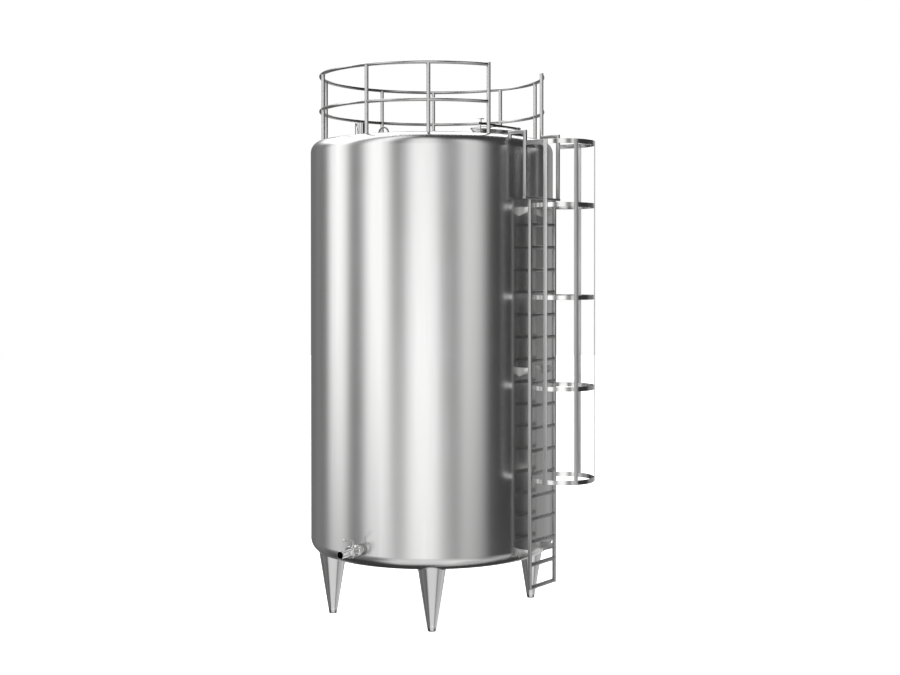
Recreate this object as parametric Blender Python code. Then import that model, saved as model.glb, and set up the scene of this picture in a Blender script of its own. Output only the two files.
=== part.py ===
# Vertical stainless steel storage tank on four cone legs, with a caged ladder, a roof
# railing, a hinged manway and a butterfly valve at the outlet. Metres, +Z up. Sizes below
# are given from the tank's own axis, with the ladder towards +X and the ground at Z = 0.
import math

import bmesh
import bpy
from mathutils import Matrix, Vector

GAP = 0.0003                  # between two pieces that touch
TAU = 2.0 * math.pi
SMOOTH_ANGLE = 32.0           # edges sharper than this stay crisp

# Shell, roof and bottom
SHELL_RADIUS = 1.700
WALL = 0.080                  # inner shell, insulation and cladding together
ROOF_SEAM_Z = 6.365
ROOF_KNUCKLE = 0.162
ROOF_HEIGHT = 0.273
BOTTOM_SEAM_Z = 0.996
BOTTOM_KNUCKLE = 0.170
BOTTOM_HEIGHT = 0.290
SHELL_PANELS = 8
PANEL_FACETS = 9
SHELL_FACETS = SHELL_PANELS * PANEL_FACETS
KNUCKLE_STEPS = 4
DISH_STEPS = 4

# Legs
LEG_CIRCLE = 1.457
LEG_ANGLE = 54.0              # either side of the ladder's line, at both ends
LEG_OFFSET = (0.027, 0.020)   # the legs' own middle from the tank's axis
FOOT_RADIUS = 0.053
LEG_TOP_RADIUS = 0.214
LEG_TOP_Z = 1.000             # before the bottom cuts it
LEG_SIDES = 24

# Roof railing
RAIL_CIRCLE = 1.559
RAIL_TUBE = 0.0235
TOP_RAIL_Z = 7.433
MID_RAIL_Z = 6.947
POST_TUBE = 0.0258
POST_ANGLES = (24.3, 54.5, 86.3, 126.5, 156.1)
GATE_POST_TOP_Z = 7.465       # the two posts that end the rails
RAIL_STEPS = 96
RAIL_SIDES = 8
POST_SIDES = 12

# Ladder
STRINGER_X = 1.846
STRINGER_Y = 0.300
SECTION_DEEP = 0.046          # stringer, side post and arm section
SECTION_WIDE = 0.036
STRINGER_LOW_Z = 0.508
RUNG_PITCH = 0.300
RUNG_COUNT = 17
RUNG_DEEP = 0.036
RUNG_TALL = 0.047
RUNG_INSET = 0.001            # the lowest rung above the stringers' ends
STEP_Z = 5.682
STEP_THICK = 0.030
STEP_DEEP = 0.050
SIDE_POST_X = 1.837
SIDE_POST_Y = 0.405
SIDE_POST_TOP_Z = 6.568
ARM_END_X = 1.574
BRACKET_TOPS = (1.032, 3.440, 5.565)
BRACKET_TALL = 0.120
BRACKET_SHORT = 0.065
BRACKET_THICK = 0.012

# Safety cage
CAGE_RADIUS = 0.418
HOOP_THICK = 0.006
HOOP_TALL = 0.060
HOOP_STEP = 11.25
LOW_HOOPS = (1.973, 3.186, 4.373, 5.579)
TOP_HOOP_Z = 6.401
HOOP_ENDS = 12                # hoop steps from the middle to each end
TOP_HOOP_ENDS = 8
STRIP_WIDE = 0.055
STRIP_STEPS = (-8, -3, 3, 8)  # places round the hoop, counted in hoop steps

# Manway. Its heights count from the roof's face at its middle, square to that face.
MANWAY_X = 1.134
NECK_RADIUS = 0.352
NECK_WALL = 0.012
NECK_LOW = -0.110
FLARE_HIGH = 0.045
RIM_RADIUS = 0.390
RIM_HIGH = 0.053
LID_RADIUS = 0.380
LID_EDGE = 0.005
LID_CROWN = 0.050
LID_FLAT = 0.050              # the lid's level middle
LID_RINGS = 5
YOKE_SIZE = 0.027
YOKE_TIP_Y = -0.460
YOKE_HEEL_Y = 0.466
HINGE_Y = 0.451
PIN_RADIUS = 0.007
PIN_SLACK = 0.0005
PIN_SIDES = 16
EAR_OFFSET = 0.029
EAR_THICK = 0.010
EAR_LOW = 0.004
EAR_ABOVE_PIN = 0.015
EAR_BEYOND_PIN = 0.030
LUG_HIGH = 0.014
LUG_HALF = 0.022
LUG_BEYOND_SCREW = 0.025
SCREW_Y = -0.437
SCREW_RADIUS = 0.009
SCREW_HUB = 0.014
WHEEL_LOW = 0.171
WHEEL_RADIUS = 0.045
WHEEL_THICK = 0.016
WHEEL_SIDES = 16
MANWAY_SIDES = 48

# Vent and lifting eye on the roof
VENT_X = -1.315
VENT_RADIUS = 0.081
VENT_TOP_Z = 6.881
VENT_SIDES = 32
EYE_X = -0.880
EYE_TOP_Z = 6.810
EYE_BEND = 0.087
EYE_BAR = 0.013
EYE_STEPS = 12
EYE_SIDES = 10

# Outlet with its valve
OUTLET_ANGLE = -86.6
OUTLET_Z = 1.062
PIPE_RADIUS = 0.050
PIPE_WALL = 0.004
VALVE_START = 1.768
VALVE_END = 1.928
VALVE_RADIUS = 0.080
VALVE_WAIST = 0.064
VALVE_CHEEK = 0.030
VALVE_CHAMFER = 0.006
SPOUT_END = 2.127
STEM_RADIUS = 0.009
LEVER_Z = 0.145
LEVER_BEND = 0.020
LEVER_BEND_STEPS = 3
LEVER_END_RADIUS = 0.0056     # where the ball begins
LEVER_SIDES = 12
LEVER_TIP_REACH = 2.032
LEVER_TIP_Z = 0.177
LEVER_BALL = 0.018
BALL_STEPS = 10
DISC_RADIUS = 0.0445
DISC_THICK = 0.006
PIPE_SIDES = 24

# The part stands with the middle of its base on the origin
CAGE_X = STRINGER_X + SECTION_DEEP / 2 + GAP - CAGE_RADIUS * math.cos(math.radians(HOOP_STEP * HOOP_ENDS))
AXIS_X = -(CAGE_X + CAGE_RADIUS - SHELL_RADIUS) / 2
AXIS_Y = (SPOUT_END * math.sin(math.radians(-OUTLET_ANGLE)) - SHELL_RADIUS) / 2


def clear_scene():
    for item in list(bpy.data.objects):
        bpy.data.objects.remove(item, do_unlink=True)


def steel(name, shade, roughness):
    material = bpy.data.materials.new(name)
    material.use_nodes = True
    shader = material.node_tree.nodes["Principled BSDF"]
    shader.inputs["Base Color"].default_value = (shade, shade, shade, 1.0)
    shader.inputs["Roughness"].default_value = roughness
    shader.inputs["Metallic"].default_value = 1.0
    return material


def place_object(name, bm, material, parent):
    bmesh.ops.recalc_face_normals(bm, faces=bm.faces)
    mesh = bpy.data.meshes.new(name)
    bm.to_mesh(mesh)
    bm.free()
    mesh.materials.append(material)
    mesh.shade_smooth()
    mesh.set_sharp_from_angle(angle=math.radians(SMOOTH_ANGLE))
    item = bpy.data.objects.new(name, mesh)
    bpy.context.scene.collection.objects.link(item)
    item.parent = parent
    return item


def place_empty(name, location, turn=0.0, parent=None, lean=0.0):
    item = bpy.data.objects.new(name, None)
    bpy.context.scene.collection.objects.link(item)
    item.location = location
    item.rotation_euler = (0.0, math.radians(lean), math.radians(turn))
    item.parent = parent
    return item


def cut(item, cutter, operation="DIFFERENCE"):
    modifier = item.modifiers.new(cutter.name, "BOOLEAN")
    modifier.operation = operation
    modifier.object = cutter


def place_cutter(name, bm, material, parent):
    item = place_object(name, bm, material, parent)
    item.hide_render = True
    item.display_type = "WIRE"
    return item


# A solid turned about Z. The profile is a closed loop of (radius, height), or a line that
# starts and ends on the axis.
def turned(bm, profile, steps, start=0.0, sweep=360.0, place=Matrix()):
    full = sweep >= 360.0
    count = steps if full else steps + 1
    angles = [math.radians(start + sweep * i / steps) for i in range(count)]
    rings = []
    for radius, height in profile:
        if radius == 0.0:
            rings.append([bm.verts.new(place @ Vector((0.0, 0.0, height)))])
            continue
        points = [Vector((radius * math.cos(a), radius * math.sin(a), height)) for a in angles]
        rings.append([bm.verts.new(place @ point) for point in points])
    pairs = list(zip(rings, rings[1:]))
    if profile[0][0] > 0.0:
        pairs.append((rings[-1], rings[0]))
    for first, second in pairs:
        for i in range(steps):
            near, far = i % count, (i + 1) % count
            corners = [first[near % len(first)], first[far % len(first)],
                       second[far % len(second)], second[near % len(second)]]
            corners = list(dict.fromkeys(corners))
            if len(corners) > 2:
                bm.faces.new(corners)
    if not full:
        bm.faces.new([ring[0] for ring in rings])
        bm.faces.new([ring[-1] for ring in rings])


def rod(bm, radius, low, high, sides, place=Matrix()):
    turned(bm, [(0.0, low), (radius, low), (radius, high), (0.0, high)], sides, place=place)


def block(bm, low, high):
    size = [b - a for a, b in zip(low, high)]
    middle = [(a + b) / 2 for a, b in zip(low, high)]
    matrix = Matrix.Translation(middle) @ Matrix.Diagonal((*size, 1.0))
    bmesh.ops.create_cube(bm, size=1.0, matrix=matrix)


# A flat outline pushed along one axis. The outline gives the other two coordinates in
# X, Y, Z order.
def plate(bm, outline, axis, low, high):
    def corner(pair, level):
        values = list(pair)
        values.insert(axis, level)
        return bm.verts.new(values)

    near = [corner(pair, low) for pair in outline]
    far = [corner(pair, high) for pair in outline]
    bm.faces.new(near)
    bm.faces.new(far)
    for i in range(len(outline)):
        j = (i + 1) % len(outline)
        bm.faces.new((near[i], near[j], far[j], far[i]))


# A flat bar on edge that follows two plan lines, its outer and its inner side.
def band(bm, outer, inner, low, high):
    sections = []
    for out, into in zip(outer, inner):
        corners = [(*out, low), (*out, high), (*into, high), (*into, low)]
        sections.append([bm.verts.new(corner) for corner in corners])
    for first, second in zip(sections, sections[1:]):
        for i in range(4):
            j = (i + 1) % 4
            bm.faces.new((first[i], first[j], second[j], second[i]))
    bm.faces.new(sections[0])
    bm.faces.new(sections[-1])


# A round bar along a path in the XZ plane, with its own radius at each point.
def swept(bm, path, radii, sides):
    rings = []
    for i, (x, z) in enumerate(path):
        ahead = path[min(i + 1, len(path) - 1)]
        behind = path[max(i - 1, 0)]
        run = Vector((ahead[0] - behind[0], ahead[1] - behind[1])).normalized()
        ring = []
        for k in range(sides):
            angle = TAU * k / sides
            side, out = radii[i] * math.cos(angle), radii[i] * math.sin(angle)
            ring.append(bm.verts.new((x - run.y * side, out, z + run.x * side)))
        rings.append(ring)
    for first, second in zip(rings, rings[1:]):
        for k in range(sides):
            j = (k + 1) % sides
            bm.faces.new((first[k], first[j], second[j], second[k]))
    bm.faces.new(rings[0])
    bm.faces.new(rings[-1])


# The radius of the large sphere that runs into the knuckle of a dished end.
def dish_sphere(shoulder, knuckle, height):
    return (shoulder ** 2 + height ** 2 - knuckle ** 2) / (2.0 * (height - knuckle))


# Half a dished end from the axis to its seam. Heights count from the seam, away from the shell.
def dish_line(radius, knuckle, height):
    shoulder = radius - knuckle
    sphere = dish_sphere(shoulder, knuckle, height)
    join = math.asin(shoulder / (sphere - knuckle))
    line = [(0.0, height)]
    for i in range(1, DISH_STEPS + 1):
        angle = join * i / DISH_STEPS
        line.append((sphere * math.sin(angle), height - sphere + sphere * math.cos(angle)))
    for i in range(1, KNUCKLE_STEPS + 1):
        angle = join + (math.pi / 2 - join) * i / KNUCKLE_STEPS
        line.append((shoulder + knuckle * math.sin(angle), knuckle * math.cos(angle)))
    line[-1] = (radius, 0.0)
    return line


def dished_end(bm, knuckle, height, seam, up):
    outer = dish_line(SHELL_RADIUS, knuckle, height)
    inner = dish_line(SHELL_RADIUS - WALL, knuckle - WALL, height - WALL)
    line = outer + inner[::-1]
    profile = [(r, seam + up * (z + GAP)) for r, z in line]
    turned(bm, profile, SHELL_FACETS)


# Everything on the shell's side of an end's outer face, grown by the gap.
def end_cutter(name, knuckle, height, seam, up, material, parent):
    line = dish_line(SHELL_RADIUS + GAP, knuckle + GAP, height + 2 * GAP)
    profile = [(r, seam + up * z) for r, z in line]
    profile += [(SHELL_RADIUS + GAP, seam - up), (0.0, seam - up)]
    bm = bmesh.new()
    turned(bm, profile, SHELL_FACETS)
    return place_cutter(name, bm, material, parent)


def shell_panels(material, tank, outlet_hole):
    sweep = 360.0 / SHELL_PANELS
    trim = math.degrees(GAP / (2.0 * SHELL_RADIUS))
    inner = SHELL_RADIUS - WALL
    profile = [(SHELL_RADIUS, BOTTOM_SEAM_Z), (SHELL_RADIUS, ROOF_SEAM_Z),
               (inner, ROOF_SEAM_Z), (inner, BOTTOM_SEAM_Z)]
    for i in range(SHELL_PANELS):
        start = sweep * i
        bm = bmesh.new()
        turned(bm, profile, PANEL_FACETS, start + trim, sweep - 2 * trim)
        panel = place_object(f"shell_panel_{i + 1:02d}", bm, material, tank)
        if start < OUTLET_ANGLE + 360.0 < start + sweep:
            cut(panel, outlet_hole)


def legs(material, tank, bottom_cutter):
    grow = (LEG_TOP_RADIUS - FOOT_RADIUS) / LEG_TOP_Z
    places = (("right_front", -LEG_ANGLE), ("right_back", LEG_ANGLE),
              ("left_back", 180.0 - LEG_ANGLE), ("left_front", 180.0 + LEG_ANGLE))
    for name, angle in places:
        bm = bmesh.new()
        profile = [(0.0, 0.0), (FOOT_RADIUS, 0.0),
                   (FOOT_RADIUS + grow * LEG_TOP_Z, LEG_TOP_Z), (0.0, LEG_TOP_Z)]
        turned(bm, profile, LEG_SIDES)
        leg = place_object(f"leg_{name}", bm, material, tank)
        turn = math.radians(angle)
        leg.location = (LEG_OFFSET[0] + LEG_CIRCLE * math.cos(turn),
                        LEG_OFFSET[1] + LEG_CIRCLE * math.sin(turn), 0.0)
        leg.rotation_euler = (0.0, 0.0, turn)
        cut(leg, bottom_cutter)


# A rail's round bar, from one gate post to the other.
def rail_ring(bm, level, grow):
    lean = math.degrees((POST_TUBE + GAP) / RAIL_CIRCLE)
    first = POST_ANGLES[0] + lean
    section = []
    for k in range(RAIL_SIDES):
        angle = TAU * k / RAIL_SIDES
        reach = RAIL_TUBE + grow
        section.append((RAIL_CIRCLE + reach * math.cos(angle), level + reach * math.sin(angle)))
    turned(bm, section, RAIL_STEPS, first, 360.0 - 2 * first)


# The gate posts end the rails. The others carry the top rail in a saddle, and the middle
# rail runs through them.
def railing(material, tank, roof_cutter):
    for name, level in (("rail_top", TOP_RAIL_Z), ("rail_middle", MID_RAIL_Z)):
        bm = bmesh.new()
        rail_ring(bm, level, 0.0)
        place_object(name, bm, material, tank)
    bm = bmesh.new()
    for level in (TOP_RAIL_Z, MID_RAIL_Z):
        rail_ring(bm, level, GAP / math.cos(math.pi / RAIL_SIDES))
    rail_cutter = place_cutter("rail_room", bm, material, tank)
    angles = [360.0 - a for a in POST_ANGLES] + list(POST_ANGLES[::-1])
    for i, angle in enumerate(angles):
        gate = i in (0, len(angles) - 1)
        bm = bmesh.new()
        rod(bm, POST_TUBE, ROOF_SEAM_Z, GATE_POST_TOP_Z if gate else TOP_RAIL_Z, POST_SIDES)
        post = place_object(f"rail_post_{i + 1:02d}", bm, material, tank)
        turn = math.radians(angle)
        post.location = (RAIL_CIRCLE * math.cos(turn), RAIL_CIRCLE * math.sin(turn), 0.0)
        post.rotation_euler = (0.0, 0.0, turn)
        cut(post, roof_cutter)
        if not gate:
            cut(post, rail_cutter)


# Stringers, with the rungs and the wall brackets welded into them.
def ladder(material, tank):
    face = STRINGER_X - SECTION_DEEP / 2, STRINGER_X + SECTION_DEEP / 2
    half = SECTION_WIDE / 2
    top = STEP_Z - STEP_THICK / 2 - GAP
    bm = bmesh.new()
    for middle in (-STRINGER_Y, STRINGER_Y):
        block(bm, (face[0], middle - half, STRINGER_LOW_Z), (face[1], middle + half, top))
    frame = place_object("ladder", bm, material, tank)
    bm = bmesh.new()
    for k in range(RUNG_COUNT):
        low = STRINGER_LOW_Z + RUNG_INSET + RUNG_PITCH * k
        block(bm, (STRINGER_X - RUNG_DEEP / 2, -STRINGER_Y, low),
              (STRINGER_X + RUNG_DEEP / 2, STRINGER_Y, low + RUNG_TALL))
    cut(frame, place_cutter("rungs", bm, material, tank), "UNION")
    bm = bmesh.new()
    thin = BRACKET_THICK / 2
    wall = math.sqrt(SHELL_RADIUS ** 2 - (STRINGER_Y - thin) ** 2) + GAP
    for middle in (-STRINGER_Y, STRINGER_Y):
        for level in BRACKET_TOPS:
            outline = [(wall, level), (STRINGER_X, level), (STRINGER_X, level - BRACKET_SHORT),
                       (wall, level - BRACKET_TALL)]
            plate(bm, outline, 1, middle - thin, middle + thin)
    cut(frame, place_cutter("wall_brackets", bm, material, tank), "UNION")


# The top step, the two side posts on it and their arms that rest on the roof's shoulder.
def ladder_head(material, tank, roof_cutter):
    half = SECTION_WIDE / 2
    faces = SIDE_POST_X - SECTION_DEEP / 2, SIDE_POST_X + SECTION_DEEP / 2
    arm_low = SIDE_POST_TOP_Z - SECTION_DEEP
    foot = ARM_END_X + SECTION_DEEP
    bm = bmesh.new()
    block(bm, (SIDE_POST_X - STEP_DEEP / 2, -SIDE_POST_Y - STEP_DEEP / 2, STEP_Z - STEP_THICK / 2),
          (SIDE_POST_X + STEP_DEEP / 2, SIDE_POST_Y + STEP_DEEP / 2, STEP_Z + STEP_THICK / 2))
    head = place_object("ladder_head", bm, material, tank)
    bm = bmesh.new()
    for side in (-1, 1):
        outline = [(faces[1], STEP_Z), (faces[1], SIDE_POST_TOP_Z), (ARM_END_X, SIDE_POST_TOP_Z),
                   (ARM_END_X, ROOF_SEAM_Z), (foot, ROOF_SEAM_Z), (foot, arm_low),
                   (faces[0], arm_low), (faces[0], STEP_Z)]
        plate(bm, outline, 1, side * SIDE_POST_Y - half, side * SIDE_POST_Y + half)
    cut(head, place_cutter("side_posts", bm, material, tank), "UNION")
    cut(head, roof_cutter)


def hoop_line(radius, last_step):
    line = []
    for k in range(-last_step, last_step + 1):
        angle = math.radians(HOOP_STEP * k)
        line.append((CAGE_X + radius * math.cos(angle), radius * math.sin(angle)))
    return line


def cage(material, tank):
    inside = CAGE_RADIUS - HOOP_THICK
    for i, level in enumerate(LOW_HOOPS):
        bm = bmesh.new()
        band(bm, hoop_line(CAGE_RADIUS, HOOP_ENDS), hoop_line(inside, HOOP_ENDS),
             level - HOOP_TALL / 2, level + HOOP_TALL / 2)
        place_object(f"cage_hoop_{i + 1}", bm, material, tank)
    root = SIDE_POST_X + SECTION_DEEP / 2 + GAP
    lines = []
    for radius in (CAGE_RADIUS, inside):
        lines.append([(root, -radius)] + hoop_line(radius, TOP_HOOP_ENDS) + [(root, radius)])
    bm = bmesh.new()
    band(bm, lines[0], lines[1], TOP_HOOP_Z - HOOP_TALL / 2, TOP_HOOP_Z + HOOP_TALL / 2)
    place_object("cage_hoop_top", bm, material, tank)
    low, high = LOW_HOOPS[0] - HOOP_TALL / 2, TOP_HOOP_Z + HOOP_TALL / 2
    for i, step in enumerate(STRIP_STEPS):
        bm = bmesh.new()
        block(bm, (CAGE_RADIUS + GAP, -STRIP_WIDE / 2, low),
              (CAGE_RADIUS + GAP + HOOP_THICK, STRIP_WIDE / 2, high))
        strip = place_object(f"cage_strip_{i + 1}", bm, material, tank)
        strip.location = (CAGE_X, 0.0, 0.0)
        strip.rotation_euler = (0.0, 0.0, math.radians(HOOP_STEP * step))


# The manway's own frame stands square to the roof: its height there, and its lean.
def manway_seat():
    sphere = dish_sphere(SHELL_RADIUS - ROOF_KNUCKLE, ROOF_KNUCKLE, ROOF_HEIGHT)
    height = ROOF_SEAM_Z + ROOF_HEIGHT - sphere + math.sqrt(sphere ** 2 - MANWAY_X ** 2)
    return height, math.degrees(math.asin(MANWAY_X / sphere))


def hinge_height():
    return RIM_HIGH + GAP + LID_CROWN + GAP + YOKE_SIZE / 2


def manway_neck(material, manway):
    bore = NECK_RADIUS - NECK_WALL
    bm = bmesh.new()
    profile = [(NECK_RADIUS, NECK_LOW), (NECK_RADIUS, 0.0), (RIM_RADIUS, FLARE_HIGH),
               (RIM_RADIUS, RIM_HIGH), (bore, RIM_HIGH), (bore, NECK_LOW)]
    turned(bm, profile, MANWAY_SIDES)
    neck = place_object("manway_neck", bm, material, manway)
    fittings = bmesh.new()
    embed = NECK_RADIUS - NECK_WALL / 2
    outside = RIM_RADIUS - EAR_THICK / 2
    ear_end = HINGE_Y + EAR_BEYOND_PIN
    top = hinge_height() + EAR_ABOVE_PIN
    outline = [(embed, EAR_LOW), (ear_end, EAR_LOW), (ear_end, top), (outside, top),
               (outside, FLARE_HIGH), (embed, FLARE_HIGH)]
    for side in (-1, 1):
        middle = side * EAR_OFFSET
        plate(fittings, outline, 0, middle - EAR_THICK / 2, middle + EAR_THICK / 2)
    block(fittings, (-LUG_HALF, SCREW_Y - LUG_BEYOND_SCREW, EAR_LOW), (LUG_HALF, -embed, LUG_HIGH))
    cut(neck, place_cutter("manway_fittings", fittings, material, manway), "UNION")
    turn = Matrix.Translation((0.0, HINGE_Y, hinge_height())) @ Matrix.Rotation(math.radians(90.0), 4, "Y")
    pin = bmesh.new()
    rod(pin, PIN_RADIUS, -EAR_OFFSET, EAR_OFFSET, PIN_SIDES, turn)
    cut(neck, place_cutter("manway_pin", pin, material, manway), "UNION")


# The lid and its yoke turn about the pin, so both have their origin there.
def manway_cover(lid_material, yoke_material, hinge):
    low = RIM_HIGH + GAP - hinge_height()
    bm = bmesh.new()
    profile = [(0.0, low + LID_CROWN)]
    for k in range(LID_RINGS + 1):
        share = k / LID_RINGS
        fall = (LID_CROWN - LID_EDGE) * share ** 2
        profile.append((LID_FLAT + (LID_RADIUS - LID_FLAT) * share, low + LID_CROWN - fall))
    profile += [(LID_RADIUS, low), (0.0, low)]
    turned(bm, profile, MANWAY_SIDES, place=Matrix.Translation((0.0, -HINGE_Y, 0.0)))
    place_object("manway_lid", bm, lid_material, hinge)
    half = YOKE_SIZE / 2
    bm = bmesh.new()
    block(bm, (-half, YOKE_TIP_Y - HINGE_Y, -half), (half, YOKE_HEEL_Y - HINGE_Y, half))
    yoke = place_object("manway_yoke", bm, yoke_material, hinge)
    turn = Matrix.Rotation(math.radians(90.0), 4, "Y")
    hole = bmesh.new()
    rod(hole, PIN_RADIUS + PIN_SLACK, -YOKE_SIZE, YOKE_SIZE, PIN_SIDES, turn)
    cut(yoke, place_cutter("pin_hole", hole, yoke_material, hinge))
    hole = bmesh.new()
    place = Matrix.Translation((0.0, SCREW_Y - HINGE_Y, 0.0))
    rod(hole, SCREW_RADIUS + PIN_SLACK, -YOKE_SIZE, YOKE_SIZE, PIN_SIDES, place)
    cut(yoke, place_cutter("screw_hole", hole, yoke_material, hinge))


def manway_screw(material, manway):
    bm = bmesh.new()
    yoke_top = hinge_height() + YOKE_SIZE / 2 + GAP
    profile = [(0.0, LUG_HIGH + GAP), (SCREW_RADIUS, LUG_HIGH + GAP), (SCREW_RADIUS, yoke_top),
               (SCREW_HUB, yoke_top), (SCREW_HUB, WHEEL_LOW), (WHEEL_RADIUS, WHEEL_LOW),
               (WHEEL_RADIUS, WHEEL_LOW + WHEEL_THICK), (0.0, WHEEL_LOW + WHEEL_THICK)]
    turned(bm, profile, WHEEL_SIDES)
    screw = place_object("manway_handwheel", bm, material, manway)
    screw.location = (0.0, SCREW_Y, 0.0)


def vent(material, tank, roof_cutter):
    bm = bmesh.new()
    rod(bm, VENT_RADIUS, ROOF_SEAM_Z, VENT_TOP_Z, VENT_SIDES, Matrix.Translation((VENT_X, 0.0, 0.0)))
    cut(place_object("vent_stub", bm, material, tank), roof_cutter)


def lifting_eye(material, tank, roof_cutter):
    crown = EYE_TOP_Z - EYE_BAR - EYE_BEND
    path = [(EYE_X - EYE_BEND, ROOF_SEAM_Z)]
    for k in range(EYE_STEPS + 1):
        angle = math.pi * (1.0 - k / EYE_STEPS)
        path.append((EYE_X + EYE_BEND * math.cos(angle), crown + EYE_BEND * math.sin(angle)))
    path.append((EYE_X + EYE_BEND, ROOF_SEAM_Z))
    bm = bmesh.new()
    swept(bm, path, [EYE_BAR] * len(path), EYE_SIDES)
    cut(place_object("lifting_eye", bm, material, tank), roof_cutter)


# The outlet's own frame: X runs out along the pipe, Z is up, with Z = 0 on the pipe's axis.
def outlet(material, valve_material, pipe_frame):
    along = Matrix.Rotation(math.radians(90.0), 4, "Y")
    bore = PIPE_RADIUS - PIPE_WALL
    runs = (("outlet_pipe", SHELL_RADIUS - WALL, VALVE_START - GAP),
            ("outlet_spout", VALVE_END + GAP, SPOUT_END))
    for name, start, end in runs:
        bm = bmesh.new()
        profile = [(PIPE_RADIUS, start), (PIPE_RADIUS, end), (bore, end), (bore, start)]
        turned(bm, profile, PIPE_SIDES, place=along)
        place_object(name, bm, material, pipe_frame)
    bm = bmesh.new()
    first, second = VALVE_START + VALVE_CHEEK, VALVE_END - VALVE_CHEEK
    profile = [(VALVE_RADIUS, VALVE_START), (VALVE_RADIUS, first), (VALVE_WAIST, first + VALVE_CHAMFER),
               (VALVE_WAIST, second - VALVE_CHAMFER), (VALVE_RADIUS, second), (VALVE_RADIUS, VALVE_END),
               (bore, VALVE_END), (bore, VALVE_START)]
    turned(bm, profile, PIPE_SIDES, place=along)
    body = place_object("outlet_valve_body", bm, valve_material, pipe_frame)
    hole = bmesh.new()
    place = Matrix.Translation(((VALVE_START + VALVE_END) / 2, 0.0, 0.0))
    rod(hole, STEM_RADIUS + PIN_SLACK, 0.0, LEVER_Z, PIN_SIDES, place)
    cut(body, place_cutter("stem_hole", hole, valve_material, pipe_frame))


def outlet_lever(material, stem_frame):
    reach = LEVER_TIP_REACH - (VALVE_START + VALVE_END) / 2
    rise = LEVER_TIP_Z - LEVER_Z
    path = [(0.0, DISC_RADIUS - STEM_RADIUS)]
    for k in range(LEVER_BEND_STEPS + 1):
        angle = math.pi / 2 * k / LEVER_BEND_STEPS
        path.append((LEVER_BEND * (1.0 - math.cos(angle)), LEVER_Z - LEVER_BEND * (1.0 - math.sin(angle))))
    radii = [STEM_RADIUS] * len(path)
    run = math.hypot(reach - LEVER_BEND, rise)
    ahead = Vector(((reach - LEVER_BEND) / run, rise / run))
    for k in range(1, BALL_STEPS):
        angle = math.pi * k / BALL_STEPS
        out = run - LEVER_BALL * math.cos(angle)
        path.append((LEVER_BEND + ahead.x * out, LEVER_Z + ahead.y * out))
        radii.append(LEVER_BALL * math.sin(angle) if k > 1 else LEVER_END_RADIUS)
    bm = bmesh.new()
    swept(bm, path, radii, LEVER_SIDES)
    lever = place_object("outlet_lever", bm, material, stem_frame)
    bm = bmesh.new()
    half = DISC_THICK / 2
    across = Matrix.Rotation(math.radians(90.0), 4, "X")
    rod(bm, DISC_RADIUS, -half, half, PIPE_SIDES, across)
    cut(lever, place_cutter("outlet_disc", bm, material, stem_frame), "UNION")


def main():
    clear_scene()
    satin = steel("satin steel", 0.60, 0.30)
    bright = steel("bright steel", 0.68, 0.20)
    dark = steel("dark steel", 0.06, 0.35)
    tank = place_empty("tank_axis", (AXIS_X, AXIS_Y, 0.0))
    seat, lean = manway_seat()
    manway = place_empty("manway_axis", (MANWAY_X, 0.0, seat), parent=tank, lean=lean)
    hinge = place_empty("manway_hinge", (0.0, HINGE_Y, hinge_height()), parent=manway)
    pipe_frame = place_empty("outlet_axis", (0.0, 0.0, OUTLET_Z), OUTLET_ANGLE, tank)
    stem_frame = place_empty("valve_stem", ((VALVE_START + VALVE_END) / 2, 0.0, 0.0), parent=pipe_frame)

    roof_cutter = end_cutter("roof_face", ROOF_KNUCKLE, ROOF_HEIGHT, ROOF_SEAM_Z, 1, satin, tank)
    bottom_cutter = end_cutter("bottom_face", BOTTOM_KNUCKLE, BOTTOM_HEIGHT, BOTTOM_SEAM_Z, -1, satin, tank)
    hole = bmesh.new()
    along = Matrix.Rotation(math.radians(90.0), 4, "Y")
    rod(hole, PIPE_RADIUS + GAP, SHELL_RADIUS - 2 * WALL, SHELL_RADIUS + WALL, PIPE_SIDES, along)
    outlet_hole = place_cutter("outlet_hole", hole, satin, pipe_frame)

    shell_panels(satin, tank, outlet_hole)
    bm = bmesh.new()
    dished_end(bm, ROOF_KNUCKLE, ROOF_HEIGHT, ROOF_SEAM_Z, 1)
    roof = place_object("roof", bm, satin, tank)
    hole = bmesh.new()
    rod(hole, NECK_RADIUS + GAP, -2 * WALL, WALL, MANWAY_SIDES)
    cut(roof, place_cutter("manway_hole", hole, satin, manway))
    bm = bmesh.new()
    dished_end(bm, BOTTOM_KNUCKLE, BOTTOM_HEIGHT, BOTTOM_SEAM_Z, -1)
    place_object("bottom", bm, satin, tank)
    legs(satin, tank, bottom_cutter)

    railing(bright, tank, roof_cutter)
    ladder(bright, tank)
    ladder_head(bright, tank, roof_cutter)
    cage(bright, tank)

    manway_neck(bright, manway)
    manway_cover(bright, dark, hinge)
    manway_screw(bright, manway)
    vent(bright, tank, roof_cutter)
    lifting_eye(bright, tank, roof_cutter)
    outlet(bright, bright, pipe_frame)
    outlet_lever(bright, stem_frame)


main()
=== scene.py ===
import math
import random

import bmesh
import bpy
from mathutils import Matrix, Vector


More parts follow.
